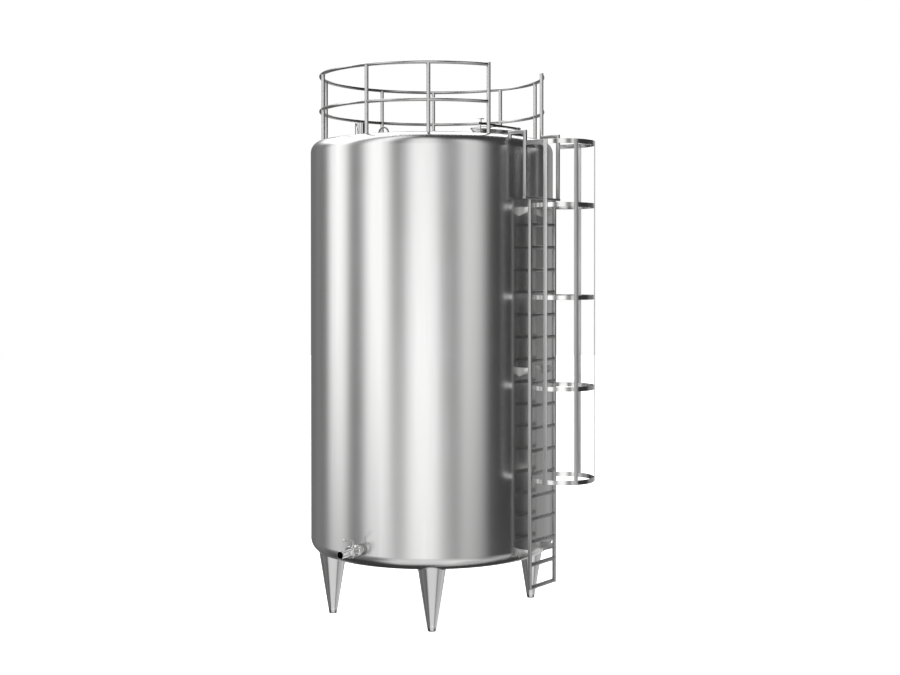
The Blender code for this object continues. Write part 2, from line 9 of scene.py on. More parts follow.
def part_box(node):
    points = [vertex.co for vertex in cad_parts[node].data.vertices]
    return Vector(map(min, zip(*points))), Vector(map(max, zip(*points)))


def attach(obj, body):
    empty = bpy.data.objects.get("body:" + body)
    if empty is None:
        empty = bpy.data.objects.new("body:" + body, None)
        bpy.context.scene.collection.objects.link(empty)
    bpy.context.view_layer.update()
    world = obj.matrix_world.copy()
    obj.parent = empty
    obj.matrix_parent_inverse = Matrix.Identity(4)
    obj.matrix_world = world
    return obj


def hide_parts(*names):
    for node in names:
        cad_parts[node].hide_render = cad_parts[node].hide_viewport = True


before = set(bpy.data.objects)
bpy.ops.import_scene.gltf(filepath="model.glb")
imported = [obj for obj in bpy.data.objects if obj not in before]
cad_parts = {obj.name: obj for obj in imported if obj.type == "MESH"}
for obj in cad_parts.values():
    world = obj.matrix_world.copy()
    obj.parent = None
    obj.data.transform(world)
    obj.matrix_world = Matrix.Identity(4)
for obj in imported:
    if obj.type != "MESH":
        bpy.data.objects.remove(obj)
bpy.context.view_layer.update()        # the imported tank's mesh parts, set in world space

random.seed(7)
fullTurn = 2 * math.pi
proud = 0.001    # how far the middle of a weld bead stands off the sheet
sunk = 0.004     # how far the foot of a stub or an arm goes into the sheet


# Sizes that the frame gives. Every piece below is drawn from the tank's own axis.
def middle(node):
    low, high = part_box(node)
    return (low + high) / 2


legNames = sorted(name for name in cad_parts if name.startswith("leg_"))
panelNames = sorted(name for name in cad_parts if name.startswith("shell_panel_"))
axis = sum((middle(name) for name in panelNames), Vector()) / len(panelNames)
axis.z = 0.0
panelPoints = [v.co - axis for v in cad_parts[panelNames[0]].data.vertices]
shellRadius = max(point.xy.length for point in panelPoints)
wall = shellRadius - min(point.xy.length for point in panelPoints)
bottomSeam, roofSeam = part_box(panelNames[0])[0].z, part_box(panelNames[0])[1].z
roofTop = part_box("roof")[1].z
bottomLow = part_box("bottom")[0].z
print("frame read: shell radius", round(shellRadius, 3))


# One output socket, with arithmetic on it
class Wire:
    def __init__(self, graph, socket):
        self.graph = graph
        self.socket = socket

    def __add__(self, other):
        return self.graph.maths("ADD", self, other)

    def __sub__(self, other):
        return self.graph.maths("SUBTRACT", self, other)

    def __rsub__(self, other):
        return self.graph.maths("SUBTRACT", other, self)

    def __mul__(self, other):
        return self.graph.maths("MULTIPLY", self, other)

    __radd__ = __add__


# The nodes of one material or of the world
class Graph:
    def __init__(self, owner):
        owner.use_nodes = True
        self.nodes = owner.node_tree.nodes
        self.links = owner.node_tree.links
        self.nodes.clear()

    # Any node: its type, its settings, then the values or links of its sockets
    def node(self, kind, settings=None, sockets=None, output=0):
        made = self.nodes.new("ShaderNode" + kind)
        for key, value in (settings or {}).items():
            setattr(made, key, value)
        for key, value in (sockets or {}).items():
            if isinstance(value, Wire):
                self.links.new(value.socket, made.inputs[key])
            else:
                made.inputs[key].default_value = value
        return Wire(self, made.outputs[output]) if made.outputs else None

    def maths(self, operation, first, second=0.0):
        return self.node("Math", {"operation": operation}, {0: first, 1: second})

    def vector(self, operation, first, second=(0.0, 0.0, 0.0), output=0):
        return self.node("VectorMath", {"operation": operation}, {0: first, 1: second}, output)

    def dot(self, first, second):
        return self.vector("DOT_PRODUCT", first, second, "Value")

    def colours(self, factor, first, second):
        return self.node("Mix", {"data_type": "RGBA"}, {0: factor, 6: first, 7: second}, 2)

    # 0 below low and 1 above high, with a soft run between them
    def rise(self, value, low, high):
        return self.node("MapRange", {"interpolation_type": "SMOOTHSTEP"},
                         {"Value": value, "From Min": low, "From Max": high})

    def noise(self, where, scale, detail=2.0, roughness=0.5):
        return self.node("TexNoise", {}, {"Vector": where, "Scale": scale, "Detail": detail,
                                          "Roughness": roughness})


def grey(value, warm=0.0):
    return (value * (1 + warm), value, value * (1 - warm), 1.0)


# Materials
# Stainless steel. The grain runs along the axis that has the smallest number in grain.
def steel(name, look):
    material = bpy.data.materials.new(name)
    graph = Graph(material)
    where = graph.node("TexCoord", output="Object")
    lines = graph.noise(graph.vector("MULTIPLY", where, look["grain"]), 1.0, 3.0, 0.65)
    streaks = graph.noise(graph.vector("MULTIPLY", where, look["streaks"]), 1.0, 2.0)
    clouds = graph.noise(where, look["cloudScale"], 3.0, 0.55)
    stains = graph.rise(streaks * clouds, 0.22, 0.42)
    tone = graph.colours(stains, grey(look["tone"] - look["toneRange"], look["warm"]),
                         grey(look["tone"] + look["toneRange"]))
    roughness = look["roughness"] + (lines - 0.5) * look["lineRoughness"]
    roughness = roughness + (clouds - 0.5) * look["cloudRoughness"]
    bump = graph.node("Bump", {}, {"Strength": look["bump"], "Distance": 0.001, "Height": lines})
    shader = graph.node("BsdfPrincipled", {}, {
        "Base Color": tone, "Metallic": 1.0, "Roughness": roughness, "Normal": bump})
    graph.node("OutputMaterial", {}, {"Surface": shader})
    return material


shellLook = {
    "tone": 0.64, "toneRange": 0.012, "warm": 0.004,
    "roughness": 0.235, "lineRoughness": 0.06, "cloudRoughness": 0.05, "cloudScale": 0.9,
    "grain": (420.0, 420.0, 5.0), "streaks": (9.0, 9.0, 0.35), "bump": 0.05,
}
legLook = {
    "tone": 0.66, "toneRange": 0.012, "warm": 0.004,
    "roughness": 0.16, "lineRoughness": 0.05, "cloudRoughness": 0.04, "cloudScale": 3.0,
    "grain": (300.0, 300.0, 12.0), "streaks": (14.0, 14.0, 1.5), "bump": 0.03,
}
tubeLook = {
    "tone": 0.62, "toneRange": 0.02, "warm": 0.004,
    "roughness": 0.17, "lineRoughness": 0.03, "cloudRoughness": 0.03, "cloudScale": 5.0,
    "grain": (90.0, 90.0, 90.0), "streaks": (12.0, 12.0, 12.0), "bump": 0.005,
}
ladderLook = {
    "tone": 0.48, "toneRange": 0.02, "warm": 0.004,
    "roughness": 0.30, "lineRoughness": 0.06, "cloudRoughness": 0.05, "cloudScale": 4.0,
    "grain": (220.0, 220.0, 9.0), "streaks": (20.0, 20.0, 3.0), "bump": 0.03,
}
flatBarLook = {
    "tone": 0.62, "toneRange": 0.02, "warm": 0.004,
    "roughness": 0.13, "lineRoughness": 0.04, "cloudRoughness": 0.04, "cloudScale": 4.0,
    "grain": (10.0, 10.0, 200.0), "streaks": (6.0, 6.0, 30.0), "bump": 0.02,
}
fittingLook = {
    "tone": 0.70, "toneRange": 0.01, "warm": 0.002,
    "roughness": 0.09, "lineRoughness": 0.05, "cloudRoughness": 0.05, "cloudScale": 8.0,
    "grain": (500.0, 500.0, 500.0), "streaks": (20.0, 20.0, 20.0), "bump": 0.02,
}
rungLook = dict(ladderLook, grain=(220.0, 9.0, 220.0), streaks=(20.0, 3.0, 20.0), roughness=0.28)
stripLook = dict(flatBarLook, grain=(220.0, 220.0, 9.0), streaks=(30.0, 30.0, 3.0), roughness=0.42)
lidLook = dict(fittingLook, roughness=0.16, tone=0.60)
# The rails take a darker copy of the posts' tube steel: painted shade on the rails
shadedRailLook = dict(tubeLook, roughness=0.20, tone=0.44)
neckLook = dict(fittingLook, roughness=0.14, tone=0.46)
eyeLook = dict(fittingLook, roughness=0.22, tone=0.30)
weldLook = {
    "tone": 0.50, "toneRange": 0.06, "warm": 0.03,
    "roughness": 0.38, "lineRoughness": 0.12, "cloudRoughness": 0.10, "cloudScale": 30.0,
    "grain": (300.0, 300.0, 300.0), "streaks": (60.0, 60.0, 60.0), "bump": 0.25,
}


# A coat or rubber with a fine peel. Where the wear is high enough the bare tone shows.
def coated(name, look):
    material = bpy.data.materials.new(name)
    graph = Graph(material)
    where = graph.node("TexCoord", output="Object")
    peel = graph.noise(where, look["peelScale"], 2.0)
    wear = graph.noise(where, look["wearScale"], 4.0, 0.7)
    bare = graph.rise(wear, look["bareFrom"], look["bareFrom"] + 0.03)
    colour = graph.colours(bare, grey(look["tone"]), grey(look["bareTone"]))
    roughness = look["roughness"] + (wear - 0.5) * look["wearRoughness"]
    bump = graph.node("Bump", {}, {"Strength": look["bump"], "Distance": 0.0006, "Height": peel})
    shader = graph.node("BsdfPrincipled", {}, {
        "Base Color": colour, "Metallic": bare, "Roughness": roughness, "Normal": bump,
        "Specular IOR Level": look["shine"]})
    graph.node("OutputMaterial", {}, {"Surface": shader})
    return material


# The yoke bar's near-black tone is a painted dark reflection; the lighter patches where it wears
# through are bare metal
yokeReflectionAndWearLook = {
    "tone": 0.012, "bareTone": 0.42, "roughness": 0.45, "wearRoughness": 0.15, "shine": 0.15,
    "peelScale": 240.0, "wearScale": 34.0, "bareFrom": 0.70, "bump": 0.12,
}
sealLook = dict(yokeReflectionAndWearLook, tone=0.03, bareTone=0.08, roughness=0.62, shine=0.4, peelScale=400.0,
                wearScale=60.0, bareFrom=0.80)

shellSteel = steel("shell_steel_satin", shellLook)
legSteel = steel("leg_steel_polished", legLook)
tubeSteel = steel("rail_tube_ground", tubeLook)
ladderSteel = steel("ladder_section_ground", ladderLook)
rungSteel = steel("rung_ground", rungLook)
flatBarSteel = steel("cage_flat_bar", flatBarLook)
stripSteel = steel("cage_strip_ground", stripLook)
fittingSteel = steel("fitting_polished", fittingLook)
lidSteel = steel("manway_lid_satin", lidLook)
# Painted shade: the rails' steel is darker than the posts' steel of the same tube
shadedRailSteel = steel("rail_tube_painted_shade", shadedRailLook)
neckSteel = steel("manway_neck_spun", neckLook)
eyeSteel = steel("lifting_eye_bar_steel", eyeLook)
weldSteel = steel("weld_bead", weldLook)
# The yoke's near-black colour is a painted dark reflection, with real wear to bare metal
yokeReflectionAndWear = coated("yoke_painted_reflection_and_wear", yokeReflectionAndWearLook)
sealRubber = coated("manway_seal", sealLook)
print("materials made")


# Mesh tools
def meshObject(name, bm):
    mesh = bpy.data.meshes.new(name)
    bm.to_mesh(mesh)
    bm.free()
    made = bpy.data.objects.new(name, mesh)
    bpy.context.scene.collection.objects.link(made)
    return made


# One visible piece, standing on the tank's axis. Edges steeper than sharp degrees stay crisp.
def place(name, bm, material, replaces, body="tank", sharp=32.0):
    bmesh.ops.recalc_face_normals(bm, faces=bm.faces)
    piece = meshObject(name, bm)
    piece.data.materials.append(material)
    piece.data.shade_smooth()
    piece.data.set_sharp_from_angle(angle=math.radians(sharp))
    piece.location = axis
    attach(piece, body)
    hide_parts(*replaces)
    return piece


# A piece drawn in the frame of the manway or of the outlet
def fitting(name, bm, matrix, material, node, body="tank", sharp=32.0):
    bm.transform(matrix)
    place(name, bm, material, [node], body, sharp)


def turns(count):
    return [fullTurn * k / count for k in range(count)]


# A solid turned about Z from a closed loop of (radius, height), or from a line between two
# points on the axis
def turned(bm, profile, steps, matrix=Matrix()):
    rings = []
    for radius, height in profile:
        if radius == 0.0:
            rings.append([bm.verts.new(matrix @ Vector((0.0, 0.0, height)))] * steps)
        else:
            points = [Vector((x, y, height)) for x, y in circleSection(radius, steps)]
            rings.append([bm.verts.new(matrix @ point) for point in points])
    pairs = list(zip(rings, rings[1:]))
    if profile[0][0] > 0.0:
        pairs.append((rings[-1], rings[0]))
    for first, second in pairs:
        for i in range(steps):
            j = (i + 1) % steps
            corners = list(dict.fromkeys((first[i], first[j], second[j], second[i])))
            if len(corners) > 2:
                bm.faces.new(corners)


def circleSection(radius, sides):
    return [(radius * math.cos(turn), radius * math.sin(turn)) for turn in turns(sides)]


# A flat bar's section with eased corners: deep across the path, tall along the up direction
def barSection(deep, tall, ease):
    x, y = deep / 2, tall / 2
    return [(x, -y + ease), (x, y - ease), (x - ease, y), (ease - x, y),
            (-x, y - ease), (-x, ease - y), (ease - x, -y), (x - ease, -y)]


# Faces between neighbouring rings of points. An open row of rings gets a face at each end.
def skin(bm, rings, closed=False):
    sides = len(rings[0])
    following = rings[1:] + rings[:1] if closed else rings[1:]
    for first, second in zip(rings, following):
        for k in range(sides):
            j = (k + 1) % sides
            bm.faces.new((first[k], first[j], second[j], second[k]))
    if not closed:
        bm.faces.new(rings[0])
        bm.faces.new(rings[-1])


# A section carried along a path. With up given the section keeps upright, otherwise it
# turns with the path and never twists.
def carried(bm, path, section, closed=False, up=None, scales=None):
    points = [Vector(point) for point in path]
    count = len(points)
    side = None
    rings = []
    for i, point in enumerate(points):
        if closed:
            run = points[(i + 1) % count] - points[i - 1]
        else:
            run = points[min(i + 1, count - 1)] - points[max(i - 1, 0)]
        run.normalize()
        if up is not None:
            side = run.cross(Vector(up)).normalized()
        elif side is None:
            side = run.orthogonal().normalized()
        else:
            side = (side - run * side.dot(run)).normalized()
        over = side.cross(run)
        scale = scales[i] if scales else 1.0
        ring = [point + side * (a * scale) + over * (b * scale) for a, b in section]
        rings.append([bm.verts.new(corner) for corner in ring])
    skin(bm, rings, closed)


# A weld bead: a thin round run with the ripple of a hand weld
def bead(bm, path, radius, closed=False):
    scales = [1.0 + 0.12 * math.sin(2.4 * i) + random.uniform(-0.05, 0.05) for i in range(len(path))]
    carried(bm, path, circleSection(radius, 6), closed=closed, scales=scales)


# Rounds edges, each one once and in a fixed order. A group holds the edges of a face or point.
def easeEdges(bm, groups, ease, segments=2):
    edges = list(dict.fromkeys(edge for group in groups for edge in group))
    bmesh.ops.bevel(bm, geom=edges, offset=ease, segments=segments, profile=0.5, affect="EDGES")


def box(bm, low, high, ease, segments=2):
    size = [b - a for a, b in zip(low, high)]
    centre = [(a + b) / 2 for a, b in zip(low, high)]
    matrix = Matrix.Translation(centre) @ Matrix.Diagonal((*size, 1.0))
    made = bmesh.ops.create_cube(bm, size=1.0, matrix=matrix)
    easeEdges(bm, [vert.link_edges for vert in made["verts"]], ease, segments)


# A flat outline pushed along one axis, with eased edges
def plate(bm, outline, across, low, high, ease):
    def corner(pair, level):
        values = list(pair)
        values.insert(across, level)
        return bm.verts.new(values)

    near = [corner(pair, low) for pair in outline]
    far = [corner(pair, high) for pair in outline]
    faces = [bm.faces.new(near), bm.faces.new(far)]
    for i in range(len(outline)):
        j = (i + 1) % len(outline)
        faces.append(bm.faces.new((near[i], near[j], far[j], far[i])))
    bmesh.ops.recalc_face_normals(bm, faces=faces)
    easeEdges(bm, [face.edges for face in faces], ease)


def ringPath(radius, level, steps, centre=(0.0, 0.0), start=0.0, sweep=fullTurn, closed=True):
    count = steps if closed else steps + 1
    return [(centre[0] + radius * math.cos(start + sweep * i / steps),
             centre[1] + radius * math.sin(start + sweep * i / steps), level) for i in range(count)]


# Hexagon head on a washer. The matrix puts Z = 0 on the clamped face.
def hexHead(bm, matrix, size, tall):
    low = size * 0.12
    washer = [(0.0, 0.0), (size * 0.68, 0.0), (size * 0.70, size * 0.03),
              (size * 0.70, size * 0.08), (size * 0.66, low), (0.0, low)]
    turned(bm, washer, 24, matrix)
    corner = size * 0.577
    flats = [(0.0, low), (size * 0.54, low), (corner, low + size * 0.05),
             (corner, low + tall * 0.86), (size * 0.52, low + tall), (0.0, low + tall)]
    turned(bm, flats, 6, matrix)


def cut(piece, cutter):
    modifier = piece.modifiers.new("opening", "BOOLEAN")
    modifier.operation = "DIFFERENCE"
    modifier.object = cutter
    settled = bpy.context.evaluated_depsgraph_get()
    mesh = bpy.data.meshes.new_from_object(piece.evaluated_get(settled))
    piece.modifiers.clear()
    piece.data = mesh
    bpy.data.objects.remove(cutter)
    piece.data.set_sharp_from_angle(angle=math.radians(32.0))


def cutter(bm):
    bmesh.ops.recalc_face_normals(bm, faces=bm.faces)
    item = meshObject("cutter", bm)
    item.location = axis
    bpy.context.view_layer.update()
    return item


# Shell, roof and bottom
vessel = {
    "segments": 288, "crownSteps": 10, "knuckleSteps": 14, "rows": 8,
    "roofKnuckle": 0.162, "bottomKnuckle": 0.170,
}
outletFrame = {"angle": math.radians(-86.6), "level": 1.062, "pipeRadius": 0.050, "pipeWall": 0.004}
outletLift = Matrix.Translation((0.0, 0.0, outletFrame["level"]))
outletTurn = Matrix.Rotation(outletFrame["angle"], 4, "Z")
outward = Matrix.Rotation(math.pi / 2, 4, "Y")
manway = {"x": 1.134, "neckRadius": 0.352, "neckWall": 0.012}


# The crown's radius, and the angle from the axis where the crown meets the knuckle
def dishCrown(shoulder, knuckle, height):
    sphere = (shoulder ** 2 + height ** 2 - knuckle ** 2) / (2.0 * (height - knuckle))
    return sphere, math.asin(shoulder / (sphere - knuckle))


def dishLine(radius, knuckle, height, crownSteps, knuckleSteps):
    shoulder = radius - knuckle
    sphere, join = dishCrown(shoulder, knuckle, height)
    line = [(0.0, height)]
    for i in range(1, crownSteps + 1):
        angle = join * i / crownSteps
        line.append((sphere * math.sin(angle), height - sphere + sphere * math.cos(angle)))
    for i in range(1, knuckleSteps + 1):
        angle = join + (math.pi / 2 - join) * i / knuckleSteps
        line.append((shoulder + knuckle * math.sin(angle), knuckle * math.cos(angle)))
    line[-1] = (radius, 0.0)
    return line


# How far a dished end stands from its seam at a distance from the tank's axis
def dishRise(distance, knuckle, height):
    shoulder = shellRadius - knuckle
    sphere, join = dishCrown(shoulder, knuckle, height)
    if distance < sphere * math.sin(join):
        return height - sphere + math.sqrt(sphere ** 2 - distance ** 2)
    return math.sqrt(max(0.0, knuckle ** 2 - (distance - shoulder) ** 2))


def roofLevel(x, y):
    return roofSeam + dishRise(math.hypot(x, y), vessel["roofKnuckle"], roofTop - roofSeam)


def bottomLevel(x, y):
    return bottomSeam - dishRise(math.hypot(x, y), vessel["bottomKnuckle"], bottomSeam - bottomLow)


# Points of a bead on the roof's face
def onRoof(pairs):
    return [(x, y, roofLevel(x, y) + proud) for x, y in pairs]


# The manway's own frame stands square to the roof, at the roof's face
def roofFrame(x):
    step = 0.001
    slope = (roofLevel(x - step, 0.0) - roofLevel(x + step, 0.0)) / (2 * step)
    return Matrix.Translation((x, 0.0, roofLevel(x, 0.0))) @ Matrix.Rotation(math.atan(slope), 4, "Y")


manwayFrame = roofFrame(manway["x"])


def makeShell():
    rows = vessel["rows"]
    outer = [(shellRadius, bottomSeam + (roofSeam - bottomSeam) * i / rows) for i in range(rows + 1)]
    inner = [(shellRadius - wall, roofSeam), (shellRadius - wall, bottomSeam)]
    bm = bmesh.new()
    turned(bm, outer + inner, vessel["segments"])
    shell = place("shell", bm, shellSteel, panelNames)
    bm = bmesh.new()
    matrix = outletLift @ (outletTurn @ outward)
    radius = outletFrame["pipeRadius"] - outletFrame["pipeWall"] / 2
    low, high = shellRadius - 2 * wall, shellRadius + wall
    turned(bm, [(0.0, low), (radius, low), (radius, high), (0.0, high)], 32, matrix)
    cut(shell, cutter(bm))


def makeEnd(name, seam, knuckle, height, up, replaces):
    steps = vessel["crownSteps"], vessel["knuckleSteps"]
    line = dishLine(shellRadius, knuckle, height, *steps)
    line += dishLine(shellRadius - wall, knuckle - wall, height - wall, *steps)[::-1]
    bm = bmesh.new()
    turned(bm, [(r, seam + up * z) for r, z in line], vessel["segments"])
    return place(name, bm, shellSteel, replaces)


def makeEnds():
    tall, deep = roofTop - roofSeam, bottomSeam - bottomLow
    roof = makeEnd("dished_roof", roofSeam, vessel["roofKnuckle"], tall, 1, ["roof"])
    bm = bmesh.new()
    radius = manway["neckRadius"] - manway["neckWall"] / 2
    turned(bm, [(0.0, -2 * wall), (radius, -2 * wall), (radius, wall), (0.0, wall)], 96, manwayFrame)
    cut(roof, cutter(bm))
    makeEnd("dished_bottom", bottomSeam, vessel["bottomKnuckle"], deep, -1, ["bottom"])


makeShell()
makeEnds()
print("shell, roof and bottom made")


# Legs
legs = {
    "footRadius": 0.053, "grow": 0.161, "sides": 64, "rows": 10,
    "footEase": 0.005, "embed": 0.002, "weld": 0.005,
}


# The middle of a leg's foot, from the tank's axis
def footMiddle(name):
    points = [v.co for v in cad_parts[name].data.vertices if v.co.z < 0.001]
    return sum(points, Vector()) / len(points) - axis


# Where one line of the cone meets the tank's bottom
def legTop(foot, side):
    level = bottomSeam
    for _ in range(30):
        point = foot + side * (legs["footRadius"] + legs["grow"] * level)
        level = bottomLevel(point.x, point.y)
    return level


def makeLegs():
    welds = bmesh.new()
    count = legs["sides"]
    sides = [Vector((math.cos(turn), math.sin(turn), 0.0)) for turn in turns(count)]
    for name in legNames:
        foot = footMiddle(name)
        tops = [legTop(foot, side) for side in sides]
        ease = legs["footEase"]
        levels = [[0.0] * count, [ease] * count]
        for row in range(1, legs["rows"] + 1):
            share = row / legs["rows"]
            levels.append([ease + (top + legs["embed"] - ease) * share for top in tops])
        bm = bmesh.new()
        rings = []
        for row, ring in enumerate(levels):
            inset = ease if row == 0 else 0.0
            reaches = [legs["footRadius"] + legs["grow"] * level - inset for level in ring]
            rings.append([bm.verts.new(foot + side * reach + Vector((0.0, 0.0, level)))
                          for side, reach, level in zip(sides, reaches, ring)])
        skin(bm, rings)
        place(f"{name}_cone", bm, legSteel, [name], sharp=50.0)
        reaches = [legs["footRadius"] + legs["grow"] * top + proud for top in tops]
        seam = [foot + side * reach + Vector((0.0, 0.0, top - legs["embed"]))
                for side, reach, top in zip(sides, reaches, tops)]
        bead(welds, seam, legs["weld"], closed=True)
    place("leg_welds", welds, weldSteel, legNames)


makeLegs()
print("legs made")


# Roof railing
railing = {
    "circle": 1.559, "tube": 0.0235, "topRail": 7.433, "middleRail": 6.947, "post": 0.0258,
    "angles": (24.3, 54.5, 86.3, 126.5, 156.1),    # from the ladder, the same to both sides
    "gateTop": 7.465, "dome": 0.008,
    "steps": 240, "sides": 20, "weld": 0.0028,
}


# A point beside a post: out from the tank's axis, round the railing's circle, and up
def nearPost(angle, out, around, level):
    radial = Vector((math.cos(angle), math.sin(angle), 0.0))
    tangent = Vector((-math.sin(angle), math.cos(angle), 0.0))
    return radial * (railing["circle"] + out) + tangent * around + Vector((0.0, 0.0, level))


# The line where a rail enters the side of a post. A share of 0.5 gives its lower half.
def railJoint(angle, level, side, share=1.0):
    path = []
    for k in range(17):
        turn = math.pi + fullTurn * share * k / 16
        out = railing["tube"] * math.cos(turn)
        around = side * math.sqrt(railing["post"] ** 2 - out ** 2)
        path.append(nearPost(angle, out, around, level + railing["tube"] * math.sin(turn)))
    return path


def makeRails():
    first = math.radians(railing["angles"][0]) + railing["post"] * 0.96 / railing["circle"]
    for name, level in (("rail_top", railing["topRail"]), ("rail_middle", railing["middleRail"])):
        bm = bmesh.new()
        path = ringPath(railing["circle"], level, railing["steps"], start=first,
                        sweep=fullTurn - 2 * first, closed=False)
        carried(bm, path, circleSection(railing["tube"], railing["sides"]), up=(0.0, 0.0, 1.0))
        place(f"{name}_tube", bm, shadedRailSteel, [name], sharp=50.0)


def makePosts():
    post, dome = railing["post"], railing["dome"]
    welds = bmesh.new()
    angles = [-a for a in railing["angles"]] + list(railing["angles"][::-1])
    names = [f"rail_post_{i + 1:02d}" for i in range(len(angles))]
    for i, degrees in enumerate(angles):
        angle = math.radians(degrees)
        gate = i in (0, len(angles) - 1)
        spot = nearPost(angle, 0.0, 0.0, 0.0)
        low = roofLevel(spot.x, spot.y) - 2 * sunk
        high = railing["gateTop"] if gate else railing["topRail"] - 0.001
        profile = [(0.0, low), (post, low), (post, high - dome), (post * 0.93, high - dome * 0.42),
                   (post * 0.74, high - dome * 0.1), (0.0, high)]
        bm = bmesh.new()
        turned(bm, profile, 28, Matrix.Translation(spot))
        place(f"railing_post_{i + 1:02d}", bm, tubeSteel, [names[i]], sharp=40.0)
        foot = [nearPost(angle, *pair, 0.0).xy for pair in circleSection(post + proud, 20)]
        bead(welds, onRoof(foot), railing["weld"] * 1.6, closed=True)
        sides = (-1, 1) if not gate else ((-1,) if i == 0 else (1,))
        for side in sides:
            lower = railJoint(angle, railing["middleRail"], side)
            bead(welds, lower[:-1], railing["weld"], closed=True)
            if gate:
                upper = railJoint(angle, railing["topRail"], side)
                bead(welds, upper[:-1], railing["weld"], closed=True)
            else:
                bead(welds, railJoint(angle, railing["topRail"], side, 0.5), railing["weld"])
    place("railing_welds", welds, weldSteel, names)


makeRails()
makePosts()
print("railing made")


# Ladder
ladder = {
    "x": 1.846, "y": 0.300, "deep": 0.046, "wide": 0.036, "ease": 0.008,
    "low": 0.508, "high": 5.6668, "weld": 0.0022,
    "pitch": 0.300, "rungs": 17, "rungDeep": 0.036, "rungTall": 0.047, "inset": 0.001,
    "rungEase": 0.005,
    "bracketTops": (1.032, 3.440, 5.565), "bracketTall": 0.120, "bracketShort": 0.065,
    "bracketThick": 0.012, "bracketSunk": 0.002,
}
head = {
    "stepLevel": 5.682, "stepThick": 0.030, "stepDeep": 0.050, "x": 1.837, "y": 0.405,
    "top": 6.568, "armEnd": 1.574, "ease": 0.005,
}


# The outline of a rung's end on a stringer's inner face
def rungLoop(y, low):
    ease, tall = ladder["rungEase"], ladder["rungTall"] / 2
    deep = ladder["rungDeep"] / 2
    loop = []
    for turn in turns(16):
        x = math.copysign(deep - ease, math.cos(turn)) + ease * math.cos(turn)
        z = math.copysign(tall - ease, math.sin(turn)) + ease * math.sin(turn)
        loop.append((ladder["x"] + x, y, low + tall + z))
    return loop


def makeLadder():
    x, y, deep, wide = ladder["x"], ladder["y"], ladder["deep"] / 2, ladder["wide"] / 2
    bm = bmesh.new()
    for side in (-1, 1):
        box(bm, (x - deep, side * y - wide, ladder["low"]), (x + deep, side * y + wide, ladder["high"]),
            ladder["ease"], 3)
    place("ladder_stringers", bm, ladderSteel, ["ladder"], sharp=50.0)
    bm, welds = bmesh.new(), bmesh.new()
    half = ladder["rungDeep"] / 2
    for k in range(ladder["rungs"]):
        low = ladder["low"] + ladder["inset"] + ladder["pitch"] * k
        high = low + ladder["rungTall"]
        box(bm, (x - half, -y + wide / 2, low), (x + half, y - wide / 2, high), ladder["rungEase"], 3)
        for side in (-1, 1):
            bead(welds, rungLoop(side * (y - wide - 0.0008), low), ladder["weld"], closed=True)
    place("ladder_rungs", bm, rungSteel, ["ladder"], sharp=50.0)
    bm = bmesh.new()
    thin = ladder["bracketThick"] / 2
    face = math.sqrt(shellRadius ** 2 - (y - thin) ** 2) - ladder["bracketSunk"]
    for side in (-1, 1):
        for top in ladder["bracketTops"]:
            outline = [(face, top), (x, top), (x, top - ladder["bracketShort"]),
                       (face, top - ladder["bracketTall"])]
            plate(bm, outline, 1, side * y - thin, side * y + thin, 0.0015)
            for edge in (-1, 1):
                across = side * y + edge * thin
                out = math.sqrt(shellRadius ** 2 - across ** 2) + proud
                line = [(out, across, top - ladder["bracketTall"] * i / 12) for i in range(13)]
                bead(welds, line, ladder["weld"] * 1.4)
    place("ladder_brackets", bm, ladderSteel, ["ladder"])
    place("ladder_welds", welds, weldSteel, ["ladder"])


def makeHead():
    x, y, wide, deep = head["x"], head["y"], ladder["wide"] / 2, ladder["deep"] / 2
    step, thick, reach = head["stepLevel"], head["stepThick"] / 2, head["stepDeep"] / 2
    bm = bmesh.new()
    box(bm, (x - reach, -y - reach, step - thick), (x + reach, y + reach, step + thick), 0.004, 3)
    place("ladder_step", bm, rungSteel, ["ladder_head"], sharp=50.0)
    bm, welds = bmesh.new(), bmesh.new()
    for side in (-1, 1):
        middleY = side * y
        foot = head["armEnd"] + ladder["deep"]
        ground = roofLevel(foot, middleY) - sunk
        under = head["top"] - ladder["deep"]
        outline = [(x + deep, step), (x + deep, head["top"]), (head["armEnd"], head["top"]),
                   (head["armEnd"], ground), (foot, ground), (foot, under), (x - deep, under),
                   (x - deep, step)]
        plate(bm, outline, 1, middleY - wide, middleY + wide, head["ease"])
        shares = [-1, -0.5, 0, 0.5]
        corners = [(a, -1) for a in shares] + [(1, -1), (1, 0)]
        corners += [(-a, 1) for a in shares] + [(-1, 1), (-1, 0)]
        loop = [(x + a * deep, middleY + b * wide, step + thick + proud / 2) for a, b in corners]
        bead(welds, loop, ladder["weld"], closed=True)
        seat = []
        for turn in turns(20):
            px = head["armEnd"] + deep + (deep + proud) * max(-1, min(1, 1.4 * math.cos(turn)))
            py = middleY + (wide + proud) * max(-1, min(1, 1.4 * math.sin(turn)))
            seat.append((px, py))
        bead(welds, onRoof(seat), ladder["weld"] * 1.8, closed=True)
    place("ladder_side_posts", bm, ladderSteel, ["ladder_head"], sharp=50.0)
    place("ladder_head_welds", welds, weldSteel, ["ladder_head"])


makeLadder()
makeHead()
print("ladder made")


# Safety cage
cage = {
    "radius": 0.418, "thick": 0.006, "tall": 0.060, "ease": 0.0015,
    "hoops": (1.973, 3.186, 4.373, 5.579), "topHoop": 6.401, "reach": 135.0, "steps": 96,
    "stripAngles": (-90.0, -33.75, 33.75, 90.0), "stripWide": 0.055, "stripThick": 0.009,
    "stripEase": 0.002, "stripSunk": 0.0008, "weld": 0.002,
}
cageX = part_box("cage_hoop_1")[1].x - axis.x - cage["radius"]


# The heights of a bead's points up the edge of a hoop
def hoopHeights(level):
    return [level - cage["tall"] / 2 + cage["tall"] * k / 10 for k in range(11)]


